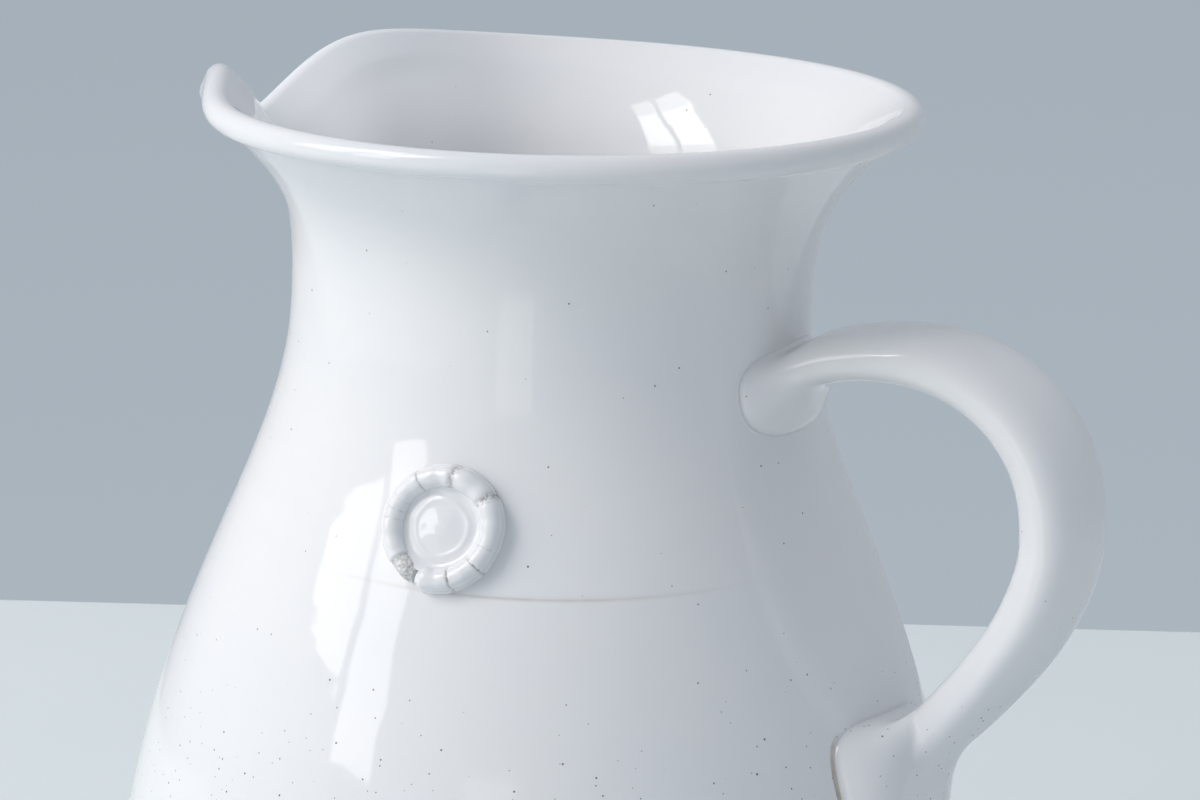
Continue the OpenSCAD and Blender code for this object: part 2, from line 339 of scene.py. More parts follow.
def glaze(name, few_at, many_at, most, crease=False, cracks=False):
    """Gloss white glaze with faint cloudy tints and iron specks.

    crease and cracks stain it where the attributes "crease" and "crack" of the mesh say so.
    """
    nodes = Nodes(name)
    place = nodes.place()
    cloud = nodes.noise(place, 22.0, Detail=3.0, Roughness=0.55)
    patch = nodes.noise(place, 9.0, Detail=2.0)
    cloud_share = nodes.spread(cloud, 0.35, 0.7)
    patch_share = nodes.spread(patch, 0.4, 0.65)
    colour = nodes.mix(nodes.maths("MULTIPLY", cloud_share, COOL_SHARE), WHITE, COOL)
    colour = nodes.mix(nodes.maths("MULTIPLY", patch_share, WARM_SHARE), colour, WARM)
    small = specks(nodes, SMALL_CELL, SMALL_SPOT, few_at, many_at, most)
    large = specks(nodes, LARGE_CELL, LARGE_SPOT, few_at, many_at, most * LARGE_SHARE)
    spots = nodes.maths("MAXIMUM", small, large)
    colour = nodes.mix(nodes.maths("MULTIPLY", spots, IRON_SHARE), colour, IRON)
    if crease:
        grain = nodes.noise(place, 260.0, Detail=3.0)
        strength = nodes.maths("ADD", grain, LEAST_STAIN)
        stained = nodes.maths("MULTIPLY", nodes.attribute("crease"), strength, clamp=True)
        colour = nodes.mix(stained, colour, TAN)
    if cracks:
        grain = nodes.noise(place, 1500.0, Detail=4.0)
        rough = nodes.spread(grain, 0.42, 0.58)
        chipped = nodes.maths("MULTIPLY", nodes.attribute("crack"), rough, clamp=True)
        colour = nodes.mix(chipped, colour, CHIP)
    nodes.put(nodes.shader.inputs["Base Color"], colour)
    nodes.shader.inputs["Roughness"].default_value = GLOSS_ROUGHNESS
    nodes.shader.inputs["IOR"].default_value = GLOSS_IOR
    peel = nodes.noise(place, 70.0, Detail=2.0)
    relief = nodes.add("ShaderNodeBump", Strength=PEEL_STRENGTH, Distance=PEEL_DEPTH, Height=peel)
    nodes.put(nodes.shader.inputs["Normal"], relief.outputs[0])
    return nodes.material


# ---------------------------------------------------------------- the joint of the two sections
GROOVE_DEPTH = 0.10 * MM
GROOVE_WIDTH = 0.7 * MM
STAIN_SHARE = 0.5
STAIN_WIDTH = 0.32 * MM
# Where the joint shows: beside the seal toward the handle, and faintly on the far side
SEAM_BEARING = SEAL_BEARING + 16
SEAM_SPREAD = 24
FAR_SEAM_BEARING = 100
FAR_SEAM_SPREAD = 40
FAR_SEAM_SHARE = 0.3


def seam_shown(bearing):
    """How open the joint is at a bearing, from 0, where it is glazed over, to 1."""
    near = bump(turned_from(bearing, SEAM_BEARING) / SEAM_SPREAD)
    far = bump(turned_from(bearing, FAR_SEAM_BEARING) / FAR_SEAM_SPREAD)
    return near + FAR_SEAM_SHARE * far


def seam_groove(bearing, z):
    """How far the wall draws in at the fine groove where the two sections meet."""
    return GROOVE_DEPTH * seam_shown(bearing) * bump((z - SEAM_H) / GROOVE_WIDTH)


def seam_stain(bearing, z):
    return STAIN_SHARE * seam_shown(bearing) * bump((z - SEAM_H) / STAIN_WIDTH)


def seam_at(curve):
    """How far along a curve the joint's height is, from 0 to 1."""
    steps = np.linspace(0, 1, 4000)
    return float(np.interp(SEAM_H, bezier(curve, steps)[:, 1], steps))


# ---------------------------------------------------------------- the lower thrown section
# How many bearings the belly's profile is set at
COLUMNS = 288
# Points of the profile nearer the axis than this are left even
EVEN_R = 20 * MM
# The power by which points on the outside crowd toward the joint
CROWDING = 1.25
# The foot from under its middle to its outside, as [radius, height] in mm
FOOT_RING = [
    (0.004, 4.0), (30, 4.0), (66, 3.6), (70, 2.4), (71.5, 0.6), (72.5, 0.0),
    (78.4, 0.0), (79.5, 0.5), (80, 1.6), (80.3, 5.0), (79.6, 6.1),
]


def lathe_rings(profile, bearings):
    """A profile of [radius, height] at every bearing, uneven as thrown: bearings x points x 3."""
    bearings = bearings[:, None]
    even_r = profile[None, :, 0]
    height = profile[None, :, 1]
    r = even_r + thrown(bearings, height) * (even_r > EVEN_R)
    r = r - seam_groove(bearings, height)
    turn = np.radians(bearings)
    z = np.broadcast_to(height, r.shape)
    return np.stack([r * np.cos(turn), r * np.sin(turn), z], -1)


def build_belly(material):
    """A profile that runs from under the foot up the outside and down the inside, swept round."""
    outer_low = bezier(FOOT, np.linspace(0, 1, 36))
    climb = 1 - (1 - np.linspace(0, 1, 110)[1:]) ** CROWDING
    outer_high = bezier(BODY, seam_at(BODY) * climb)
    inner_z = SEAM_H + (BELLY_H - SEAM_H) * np.linspace(0, 1, 50)[:-1]
    inner_high = np.stack([inner_r(inner_z), inner_z], -1)
    inner_low = bezier(INNER_FOOT, np.linspace(0, 1, 30))
    middle = np.array([(30 * MM, FLOOR_H), (0.004 * MM, FLOOR_H)])
    foot_ring = np.array(FOOT_RING) * MM
    profile = np.concatenate([foot_ring, outer_low, outer_high, inner_high, inner_low, middle])
    bearings = np.arange(COLUMNS) * 360 / COLUMNS
    rings = np.swapaxes(lathe_rings(profile, bearings), 0, 1)
    stain = seam_stain(bearings[None], rings[..., 2])
    return make_piece(
        "pitcher_belly", rings, "belly", material, closed_round=False,
        caps=((0, -1), (len(profile) - 1, 1)), attributes={"crease": stain},
    )


# ---------------------------------------------------------------- the upper thrown section
# The spout and lip; AT is where a feature is and SPREAD how wide, in degrees from the spout's middle
SPOUT_REACH = 4.2 * MM
REACH_SPREAD = 12.9
SPOUT_DIP = 16.4 * MM
DIP_SPREAD = 13.9
PINCH_IN = 2.8 * MM
PINCH_AT = 37.5
PINCH_SPREAD = 14.4
SHOULDER_UP = 3.8 * MM
SHOULDER_AT = 21.6
SHOULDER_SPREAD = 26.4
SPOUT_FOLD = 2.8 * MM
FOLD_AT = 24.5
FOLD_SPREAD = 15.3
FOLD_BELOW_LIP = 4.4 * MM
FOLD_WIDTH = 2.8 * MM
INNER_FOLD_SHARE = 0.3
INNER_FOLD_BELOW_LIP = 12 * MM
INNER_FOLD_WIDTH = 12 * MM
# The outer fold's share on the far side, what the seal's side adds, and the turn that takes
FAR_FOLD_SHARE = 0.35
NEAR_FOLD_MORE = 0.65
FOLD_CHANGE = 16
FOLD_DROP = 0.4
# Beside the spout the rim leans in, from LEAN_BELOW_LIP up and fully after LEAN_RISE
LIP_LEAN = 2.2 * MM
LEAN_AT = 26.7
LEAN_SPREAD = 12.6
LEAN_BELOW_LIP = 7.4 * MM
LEAN_RISE = 10 * MM
# The bead is a little thinner at the sides of the mouth, and is thrown more evenly than the wall;
# both fade out over BEAD_FADE from it
THIN_SHARE = 0.16
THIN_AT = 95
THIN_SPREAD = 38
BEAD_EVEN = 0.7
BEAD_FADE = 8 * MM
# The bead's section runs between these directions, where 0 is outward and 90 up; past
# INSIDE_FROM of it the profile is the mouth's inside
BEAD_START = -78
BEAD_END = 135
INSIDE_FROM = 0.45
# The spout is pulled out of the neck from this far below NECK_H, and fully after PULL_RISE
PULL_START = 6 * MM
PULL_RISE = LIP_H - NECK_H + 4 * MM
# The flare's wall as a share of WALL
FLARE_WALL = 0.93


def rim_out(away):
    """How far the rim reaches out, by its turn away from the spout."""
    return SPOUT_REACH * bump(away / REACH_SPREAD) - PINCH_IN * bump((away - PINCH_AT) / PINCH_SPREAD)


def rim_up(away):
    """How far the rim rises, by its turn away from the spout."""
    shoulder = SHOULDER_UP * bump((away - SHOULDER_AT) / SHOULDER_SPREAD)
    return shoulder - SPOUT_DIP * bump(away / DIP_SPREAD)


def build_neck(material):
    """A closed profile swept round; near the lip each point follows the spout's dip, folds and lean."""
    seam_t = seam_at(BODY)
    low_outer = bezier(BODY, seam_t + (1 - seam_t) * np.linspace(0, 1, 50) ** CROWDING)
    outer = np.concatenate([low_outer, bezier(FLARE, np.linspace(0, 1, 40)[1:])])
    bead_turn = np.radians(np.linspace(BEAD_START, BEAD_END, 30))
    bead_r = LIP_R + LIP_T / 2 * np.cos(bead_turn)
    bead = np.stack([bead_r, LIP_H + LIP_T / 2 * np.sin(bead_turn)], -1)
    inner_t = np.linspace(0.93, 0.03, 34)
    way = bezier_way(FLARE, inner_t)
    inward = np.stack([-way[:, 1], way[:, 0]], -1)
    inner_flare = bezier(FLARE, inner_t) + WALL * FLARE_WALL * inward
    inner_z = NECK_H + (SEAM_H - NECK_H) * np.linspace(0, 1, 34)
    inner_low = np.stack([inner_r(inner_z), inner_z], -1)
    profile = np.concatenate([outer, bead, inner_flare, inner_low])
    inside = np.arange(len(profile)) >= len(outer) + len(bead) * INSIDE_FROM

    # Turns from the spout's middle, closest together there
    steps = np.linspace(-1, 1, 361)[:-1]
    turn = (180 * steps - 90 / math.pi * np.sin(math.pi * steps))[:, None]
    away = np.abs(turn)
    bearing = 180 + turn

    # The profile at each turn, with the bead thinned
    lip = np.array([LIP_R, LIP_H])
    near = smooth(1 - (np.linalg.norm(profile - lip, axis=1) - LIP_T / 2) / BEAD_FADE)
    share = 1 - THIN_SHARE * bump((away - THIN_AT) / THIN_SPREAD)
    thinned = lip + (profile - lip)[None] * (1 - near[None] * (1 - share))[..., None]
    z = thinned[..., 1]

    # The spout pulled out of it
    pull = smooth((z - NECK_H + PULL_START) / PULL_RISE)
    seal_side = FAR_FOLD_SHARE + NEAR_FOLD_MORE * smooth(turn / FOLD_CHANGE + 0.5)
    beside = bump((away - FOLD_AT) / FOLD_SPREAD)
    outer_fold = SPOUT_FOLD * seal_side * beside * bump((z - LIP_H + FOLD_BELOW_LIP) / FOLD_WIDTH)
    inner_height = bump((z - LIP_H + INNER_FOLD_BELOW_LIP) / INNER_FOLD_WIDTH)
    inner_fold = INNER_FOLD_SHARE * SPOUT_FOLD * beside * inner_height
    fold = np.where(inside[None], inner_fold, outer_fold)
    lean = LIP_LEAN * bump((away - LEAN_AT) / LEAN_SPREAD)
    lean = lean * smooth((z - LIP_H + LEAN_BELOW_LIP) / LEAN_RISE)
    r = thinned[..., 0] + pull * rim_out(away) + fold - lean
    r = r + thrown(bearing, z) * (1 - BEAD_EVEN * near[None]) - seam_groove(bearing, z)
    z = z + pull * rim_up(away) - FOLD_DROP * fold

    angle = np.radians(bearing)
    rings = np.stack([r * np.cos(angle), r * np.sin(angle), z], -1)
    stain = seam_stain(bearing, z)
    return make_piece(
        "pitcher_neck", rings, "neck", material, attributes={"crease": stain}
    )


# ---------------------------------------------------------------- the handle
# Directions round the strap and its roots, in radians; 180 degrees is the seal's side
SIDES = 96
AROUND = -2 * math.pi * np.arange(SIDES) / SIDES
# The strap's middle line as [distance from the axis, height], from the neck to its furthest reach
# and from there to the belly
HANDLE_UPPER = [
    (HANDLE_REACH - 55.0 * MM, UPPER_ROOT_H + 7.7 * MM),
    (HANDLE_REACH - 27.1 * MM, UPPER_ROOT_H + 17.6 * MM),
    (HANDLE_REACH, HANDLE_MID_H + 29.8 * MM),
    (HANDLE_REACH, HANDLE_MID_H),
]
HANDLE_LOWER = [
    (HANDLE_REACH, HANDLE_MID_H),
    (HANDLE_REACH, HANDLE_MID_H - 18.9 * MM),
    (HANDLE_REACH - 14.2 * MM, LOWER_ROOT_H + 30.9 * MM),
    (HANDLE_REACH - 33.0 * MM, LOWER_ROOT_H + 9.2 * MM),
]
# How far along the lower curve the strap starts to spread into its root
STRAP_END = 0.84
# Half-sizes across and through the strap at its two ends and its middle, and of the two roots
TOP_HALF = np.array([13.6, 5.5]) * MM
MID_HALF = np.array([10.6, 6.5]) * MM
LOW_HALF = np.array([8.3, 5.7]) * MM
UPPER_HALF = np.array([20.5, 10.3]) * MM
LOWER_HALF = np.array([24.8, -22.5]) * MM
# The strap's twist at its middle and at its lower end
STRAP_TWIST = 24.0
LOW_TWIST = 20.0
# Fullness of the ovals: 1 is an ellipse, less is squarer. The lower root is squarest at its top
# and LOWER_ROUNDER fuller at its bottom
STRAP_FULLNESS = 0.8
UPPER_FULLNESS = 0.76
LOWER_TOP_FULLNESS = 0.6
LOWER_ROUNDER = 0.22
# How much the top edge of each root is flattened
UPPER_FLAT = 0.16
LOWER_FLAT = 0.13
# The lower root was pressed on askew: higher on the seal's side, where its top corner is fuller
LOWER_SKEW = 0.12
CORNER_MORE = 0.03
CORNER_AT = -138
CORNER_SPREAD = 30
# The lower root round its edge, as [direction, thickness in mm, how far the strap runs on];
# -90 is up, 180 is the seal's side and 90 is down
ROOT_SHAPE = [
    (-138, 5.0, 0.0), (-90, 5.0, 0.12), (-45, 4.0, 0.25), (0, 4.0, 0.30), (45, 3.0, 0.38),
    (90, 3.0, 0.55), (135, 7.0, 0.42), (165, 10.5, 0.32), (180, 10.0, 0.24), (195, 8.5, 0.12),
]
EASING_PASSES = 30
# Each root swells over a pad ring and a lift ring to its foot; a size is a share of the foot's
UPPER_PAD_SIZE = 0.72
UPPER_LIFT_SIZE = 0.99
LOWER_PAD_SIZE = 0.86
LOWER_LIFT_SIZE = 0.985
# How much smaller the lower root's rings are on the seal's side, where its edge is steeper
NEAR_PAD_LESS = 0.06
NEAR_LIFT_LESS = 0.025
LIFT_THICKNESS = 0.5
# The upper root's thickness, how much thinner it is at its top, and the pad ring's rise over it
PAD_OUT = 3.0 * MM
PAD_TOP_LESS = 2.5 * MM
PAD_RISE = 1.4 * MM
# The power by which a root's rings crowd toward its foot, and the least the strap runs on
FOOT_CROWDING = 1.3
LEAST_RUN = 1 * MM
# Long and short finger marks along the strap
LONG_MARKS = 0.10 * MM
SHORT_MARKS = 0.08 * MM
# Slip runs out a little past each foot, then the clay goes on under the wall's surface; each row
# is [size as a share of the foot's, distance outward]
SKIRTS = [(1.025, 0.10 * MM), (1.05, 0.05 * MM), (1.07, -0.3 * MM), (0.9, -1.6 * MM)]
# The stain's middle and spread in rings from the lower end, its strength on the far side, and the
# cosine of direction from which it starts and over which it grows
CREASE_RING = 2.4
CREASE_SPREAD = 1.6
FAR_CREASE = 0.35
CREASE_FROM = 0.6
CREASE_SPAN = 0.35


def oval(half, fullness):
    """Offsets of a rounded oval, across it and through it."""
    cosine = np.cos(AROUND)
    sine = np.sin(AROUND)
    across = half[0] * np.sign(cosine) * np.abs(cosine) ** fullness
    through = half[1] * np.sign(sine) * np.abs(sine) ** fullness
    return across, through


def strap_ring(curve, t, half, twist):
    """The strap's section at t of a curve; twist turns its outer face toward the seal."""
    middle = bezier(curve, t)
    way = bezier_way(curve, t)
    flat_across, flat_through = oval(half, STRAP_FULLNESS)
    marks = LONG_MARKS * np.sin(t * 9 + 3 * AROUND) + SHORT_MARKS * np.sin(t * 17 + AROUND)
    flat_through = flat_through + marks * np.sin(AROUND)
    turn = math.radians(twist)
    across = flat_across * math.cos(turn) - flat_through * math.sin(turn)
    through = flat_across * math.sin(turn) + flat_through * math.cos(turn)
    return np.stack([middle[0] - way[1] * through, across, middle[1] + way[0] * through], -1)


def root_ring(height, half, share=1.0, out=0.0):
    """A ring on the wall round a root's middle, distance out from it.

    share is its size beside the foot's. A half-height below zero runs it the other way up, as the
    lower root has to be to meet the strap.
    """
    lower = half[1] < 0
    if lower:
        fullness = LOWER_TOP_FULLNESS + LOWER_ROUNDER * smooth(np.sin(AROUND))
        flat = LOWER_FLAT
    else:
        fullness = UPPER_FULLNESS
        flat = UPPER_FLAT
    across, along = oval(half, fullness)
    top = np.clip(np.sin(AROUND) * np.sign(half[1]), 0, 1)
    along = along * (1 - flat * top)
    if lower:
        corner = 1 + CORNER_MORE * bump(turned_from(np.degrees(AROUND), CORNER_AT) / CORNER_SPREAD)
        across = across * corner
        along = along * corner - LOWER_SKEW * across
    return on_wall(0.0, across * share, height + along * share, out)


def blend_rings(ring, way, pad, lift, foot, steps, onward=0.45):
    """Rings from the strap's end, on along its way, over the pad and down to the foot on the wall.

    onward is how much of the distance to the wall the strap first runs on for.
    """
    run = onward * np.maximum(LEAST_RUN, (foot - ring) @ way)
    lead = run[:, None] * way
    pulls = [ring, ring + lead, pad, lift, foot]
    rings = []
    for t in 1 - (1 - np.linspace(0, 1, steps + 1)[1:-1]) ** FOOT_CROWDING:
        shares = [math.comb(4, k) * (1 - t) ** (4 - k) * t**k for k in range(5)]
        rings.append(sum(share * pull for share, pull in zip(shares, pulls)))
    return rings


def round_values(column):
    """One column of the lower root's shape for every direction round it, with its corners eased."""
    directions = [row[0] for row in ROOT_SHAPE]
    values = [row[column] for row in ROOT_SHAPE]
    values = np.interp(np.degrees(AROUND), directions, values, period=360)
    for _ in range(EASING_PASSES):
        values = (np.roll(values, 1) + 2 * values + np.roll(values, -1)) / 4
    return values


def strap_rings():
    """The strap's sections from its upper root down to where its lower root starts."""
    rings = []
    for t in np.linspace(0, 1, 60):
        half = TOP_HALF + (MID_HALF - TOP_HALF) * t
        rings.append(strap_ring(HANDLE_UPPER, t, half, STRAP_TWIST * smooth(t)))
    for t in np.linspace(0, STRAP_END, 40)[1:]:
        half = MID_HALF + (LOW_HALF - MID_HALF) * t**2
        twist = STRAP_TWIST + (LOW_TWIST - STRAP_TWIST) * t
        rings.append(strap_ring(HANDLE_LOWER, t, half, twist))
    return rings


def build_upper_root(strap_end):
    """A flat pressed pad, thinner at its top: its rings from the strap's end out under the wall."""
    way = bezier_way(HANDLE_UPPER, 0.0)
    pad_out = PAD_OUT - PAD_TOP_LESS * np.clip(np.sin(AROUND), 0, 1)
    pad = root_ring(UPPER_ROOT_H, UPPER_HALF, UPPER_PAD_SIZE, pad_out + PAD_RISE)
    lift = root_ring(UPPER_ROOT_H, UPPER_HALF, UPPER_LIFT_SIZE, pad_out)
    foot = root_ring(UPPER_ROOT_H, UPPER_HALF)
    lead = blend_rings(strap_end, -np.array([way[0], 0, way[1]]), pad, lift, foot, 40)
    skirt = [root_ring(UPPER_ROOT_H, UPPER_HALF, share, out) for share, out in SKIRTS]
    return lead + [foot] + skirt


def build_lower_root(strap_end):
    """A slab, thick on the seal's side: its rings from the strap's end out under the wall."""
    way = bezier_way(HANDLE_LOWER, STRAP_END)
    near_side = np.clip(-np.cos(AROUND), 0, 1)
    thick = round_values(1) * MM
    pad_size = LOWER_PAD_SIZE - NEAR_PAD_LESS * near_side
    lift_size = LOWER_LIFT_SIZE - NEAR_LIFT_LESS * near_side
    pad = root_ring(LOWER_ROOT_H, LOWER_HALF, pad_size, thick)
    lift = root_ring(LOWER_ROOT_H, LOWER_HALF, lift_size, LIFT_THICKNESS * thick)
    foot = root_ring(LOWER_ROOT_H, LOWER_HALF)
    lead = blend_rings(
        strap_end, np.array([way[0], 0, way[1]]), pad, lift, foot, 60, round_values(2)
    )
    skirt = [root_ring(LOWER_ROOT_H, LOWER_HALF, share, out) for share, out in SKIRTS]
    return lead + [foot] + skirt


def build_handle(material):
    """The strap between its two roots; browner glaze lies in the crease beside the lower foot."""
    strap = strap_rings()
    upper_root = build_upper_root(strap[0])
    rings = np.array(upper_root[::-1] + strap + build_lower_root(strap[-1]))
    near_stain = smooth((-np.cos(AROUND) - CREASE_FROM) / CREASE_SPAN)
    far_stain = smooth((np.cos(AROUND) - CREASE_FROM) / CREASE_SPAN)
    side_stain = near_stain + FAR_CREASE * far_stain
    count = len(rings)
    from_low = (count - 1 - np.arange(count))[:, None]
    crease = bump((from_low - CREASE_RING) / CREASE_SPREAD) * side_stain[None]
    return make_piece(
        "pitcher_handle", rings, "handle", material, closed_round=False,
        caps=((0, 1), (count - 1, -1)), attributes={"crease": crease},
    )


# ---------------------------------------------------------------- the seal
# The seal's width and height beside a true circle's
SEAL_WIDE = 0.975
SEAL_TALL = 1.01
# How far the disc runs on under the coil
DISC_UNDER_COIL = 1.1 * MM
DISC_BACK = -0.6 * MM
# The disc's rings before this one are its hidden back
DISC_FRONT = 3
# The disc's edge wobbles in three and in seven, as shares of its radius, and its face is dented
WOBBLE_OF_THREE = 0.012
WOBBLE_OF_SEVEN = 0.008
WIDE_DENTS = 0.10 * MM
FINE_DENTS = 0.06 * MM
# The glaze on the disc, as shares of its height: a floor, a pool in the middle, a faint ring and
# the climb to the coil
DISC_FLOOR = 0.50
POOL_UP = 0.30
POOL_SPREAD = 0.45
FAINT_RING_UP = 0.08
FAINT_RING_AT = 0.60
FAINT_RING_SPREAD = 0.06
EDGE_UP = 0.42
EDGE_AT = 0.74
EDGE_SPAN = 0.26

COIL_STEPS = 520
COIL_SIDES = 28
COIL_SEED = 7
# Where the coil is open, and how wide; angles are as in seal_point
GAP_AT = -111.0
GAP = 6.0
# The coil's size at its ends, how much it grows from there, and how quickly
END_SIZE = 0.72
END_GROWTH = 0.28
END_QUICKNESS = 40
# How unevenly the coil was rolled
LONG_ROLL = 0.02
SHORT_ROLL = 0.015
# The last stretch before the gap, from this share of the coil on, is broken and rough
BROKEN_FROM = 0.925
BROKEN_EASE = 0.015
BROKEN_THINNER = 0.16
BROKEN_STAIN = 0.5
CRACK_THINNER = 0.10
GRAIN_HEIGHT = 0.10 * MM
# The section's middle and half-height as shares of COIL_OUT; where its sine is below BURIED_BELOW
# it lies under the wall's surface, and its outer side spreads by COIL_SKIRT to meet the wall
SECTION_MIDDLE = 0.42
SECTION_HALF = 0.58
BURIED_BELOW = -0.55
COIL_UNDER = -0.5 * MM
COIL_SKIRT = 0.9 * MM
# How far inside SEAL_R the coil's outer side is, and how far it wanders from a circle
COIL_INSET = 0.3 * MM
COIL_WANDER = 0.12 * MM
# Cracks across the coil, as [angle, half-width, depth]
CRACKS = [
    (-70, 1.3, 0.7), (-39, 1.3, 0.7), (-18, 0.8, 0.25), (37, 4.2, 0.8), (81, 4.0, 0.6),
    (120, 1.1, 0.5), (152, 0.7, 0.2), (166, 0.8, 0.3), (178, 0.7, 0.25),
]


def seal_point(r, angle, out):
    """A point of the seal: distance from its middle, angle in radians, distance outward.

    An angle of 0 is toward the handle and a quarter turn is up.
    """
    up = float(wall_out(SEAL_H)[0])
    arc = SEAL_WIDE * r * np.cos(angle)
    return on_wall(SEAL_BEARING, arc, SEAL_H + SEAL_TALL * r * np.sin(angle) * up, out)


def disc_height(share):
    """How far the disc stands out at a share of its radius."""
    pool = POOL_UP * bump(share / POOL_SPREAD)
    faint_ring = FAINT_RING_UP * bump((share - FAINT_RING_AT) / FAINT_RING_SPREAD)
    edge = EDGE_UP * smooth((share - EDGE_AT) / EDGE_SPAN)
    return DISC_OUT * (DISC_FLOOR + pool + faint_ring + edge)


def build_seal_disc(material):
    angles = -np.radians(np.arange(0, 360, 3.0))
    disc_r = SEAL_R - COIL_W + DISC_UNDER_COIL
    shares = np.concatenate([[0.1, 0.5, 1.0], 1 - np.linspace(0, 1, 40)[:-1] ** 1.4])
    rings = []
    for k, share in enumerate(shares):
        out = DISC_BACK if k < DISC_FRONT else disc_height(share)
        if k > DISC_FRONT:
            wide_dents = WIDE_DENTS * np.sin(2 * angles + 4 * share) * share
            fine_dents = FINE_DENTS * np.sin(5 * angles - 9 * share) * share
            out = out + (wide_dents + fine_dents)
        wobble = 1 + WOBBLE_OF_THREE * np.sin(3 * angles + 1) + WOBBLE_OF_SEVEN * np.sin(7 * angles)
        rings.append(seal_point(disc_r * share * wobble, angles, out))
    return make_piece(
        "seal_disc", rings, "seal_disc", material, closed_round=False,
        caps=((0, -1), (len(shares) - 1, 1)),
    )


def build_seal_ring(material):
    """A coil that runs round from one side of its gap to the other, with cracks across it."""
    section = 2 * math.pi * (np.arange(COIL_SIDES) + 0.5) / COIL_SIDES
    skirt = COIL_SKIRT * smooth(-0.2 - np.sin(section) * 2) * (np.cos(section) > 0)
    rng = np.random.default_rng(COIL_SEED)
    rings = []
    cracks = []
    for along in np.linspace(0, 1, COIL_STEPS):
        degrees = GAP_AT + GAP / 2 + (360 - GAP) * along
        angle = turned_from(degrees, 0)
        cut = sum(depth * bump((angle - at) / width) for at, width, depth in CRACKS)
        broken = smooth((along - BROKEN_FROM) / BROKEN_EASE)
        rounded_end = END_SIZE + END_GROWTH * smooth(min(along, 1 - along) * END_QUICKNESS)
        worn = 1 - CRACK_THINNER * cut - BROKEN_THINNER * broken
        rolled = 1 + LONG_ROLL * math.sin(degrees * 0.11) + SHORT_ROLL * math.sin(degrees * 0.31)
        full = rounded_end * worn * rolled
        grain = rng.normal(0, 1, COIL_SIDES)
        grain = (grain + np.roll(grain, 1) + np.roll(grain, -1)) / 3
        rough = GRAIN_HEIGHT * grain * min(1.0, cut + broken)
        across = COIL_W / 2 * full * np.cos(section) + rough
        out = COIL_OUT * full * (SECTION_MIDDLE + SECTION_HALF * np.sin(section)) + rough
        out = np.where(np.sin(section) < BURIED_BELOW, COIL_UNDER, out)
        across = across + skirt
        wander = COIL_WANDER * math.sin(math.radians(degrees * 2.0))
        middle = SEAL_R - COIL_W / 2 - COIL_INSET + wander
        rings.append(seal_point(middle + across, np.full(COIL_SIDES, math.radians(degrees)), out))
        cracks.append(np.full(COIL_SIDES, min(1.0, cut + BROKEN_STAIN * broken)))
    return make_piece(
        "seal_ring", rings, "seal_ring", material, closed_round=False,
        caps=((0, 1), (COIL_STEPS - 1, -1)), attributes={"crack": np.array(cracks)},
    )


# ---------------------------------------------------------------- camera, lights and surroundings
# The camera's bearing is from -Y toward +X
VIEW_BEARING = 27.5
VIEW_PITCH = 15.28
VIEW_ROLL = 1.56
VIEW_DISTANCE = 0.6985
AIM_HEIGHT = 0.2271
AIM_RIGHT = 0.01164
LENS_MM = 90
SENSOR_MM = 36
NEAREST_SEEN = 0.02

LIGHT_TINT = (1.0, 0.965, 0.94)
# Upright glowing cards that face the pitcher, as [name, bearing from the camera's to the right,
# distance, width, bottom, top, glow, seen in the glaze, lights the clay]
LIGHT_CARDS = [
    ("window_left_pane", -75.2, 2.4, 0.78, 0.76, 3.9, 3.0, True, True),
    ("window_right_pane", -56.0, 2.4, 0.59, 0.58, 3.9, 3.0, True, True),
    ("window_left_top", -75.2, 2.39, 0.78, 2.0, 4.9, 3.5, True, False),
    ("window_right_top", -56.0, 2.39, 0.59, 2.0, 4.9, 3.5, True, False),
    ("door_gap", -12.5, 0.45, 0.11, 0.01, 0.27, 0.9, True, False),
    ("window_sky", -64, 1.8, 0.8, 1.25, 2.25, 6.0, False, True),
    ("fill_left_low", -90, 2.5, 1.4, 0.0, 1.2, 1.3, False, True),
    ("fill_front_left", -60, 2.5, 1.4, 0.0, 1.2, 0.7, False, True),
    ("fill_behind", -150, 1.8, 1.5, 1.3, 2.6, 2.5, False, True),
    ("fill_right", 95, 1.8, 1.5, 1.3, 2.6, 0.7, False, True),
]

# The wall seen behind the table, low down and at eye height, and the room's light
LOW_WALL = (0.42, 0.475, 0.53, 1)
HIGH_WALL = (0.355, 0.41, 0.465, 1)
ROOM_LIGHT = (0.42, 0.455, 0.505, 1)

# The table top; its edges are measured from the pitcher's axis along the camera's view
TABLE_FAR = 0.504
TABLE_NEAR = 1.6
TABLE_HALF_WIDTH = 1.9
TABLE_THICK = 0.04
TABLE_ROUNDING = 0.012
TABLE_COOL = (0.74, 0.80, 0.80, 1)
TABLE_LIGHT = (0.79, 0.845, 0.845, 1)
TABLE_ROUGHNESS = 0.55


def view_axes(bearing, pitch):
    """Directions forward, right and up for a camera at a bearing from -Y that looks down by a pitch."""
    turn = math.radians(bearing)
    down = math.radians(pitch)
    level = math.cos(down)
    forward = Vector((-math.sin(turn) * level, math.cos(turn) * level, -math.sin(down)))
    right = Vector((math.cos(turn), math.sin(turn), 0))
    return forward, right, right.cross(forward)


def build_camera():
    data = bpy.data.cameras.new("camera")
    data.lens = LENS_MM
    data.sensor_width = SENSOR_MM
    data.clip_start = NEAREST_SEEN
    camera = bpy.data.objects.new("camera", data)
    bpy.context.scene.collection.objects.link(camera)
    forward, right, up = view_axes(VIEW_BEARING, VIEW_PITCH)
    aim = Vector((0, 0, AIM_HEIGHT)) + right * AIM_RIGHT
    roll = Matrix.Rotation(math.radians(VIEW_ROLL), 3, "Z")
    turned = Matrix((right, up, -forward)).transposed() @ roll
    camera.matrix_world = Matrix.Translation(aim - forward * VIEW_DISTANCE) @ turned.to_4x4()
    bpy.context.scene.camera = camera


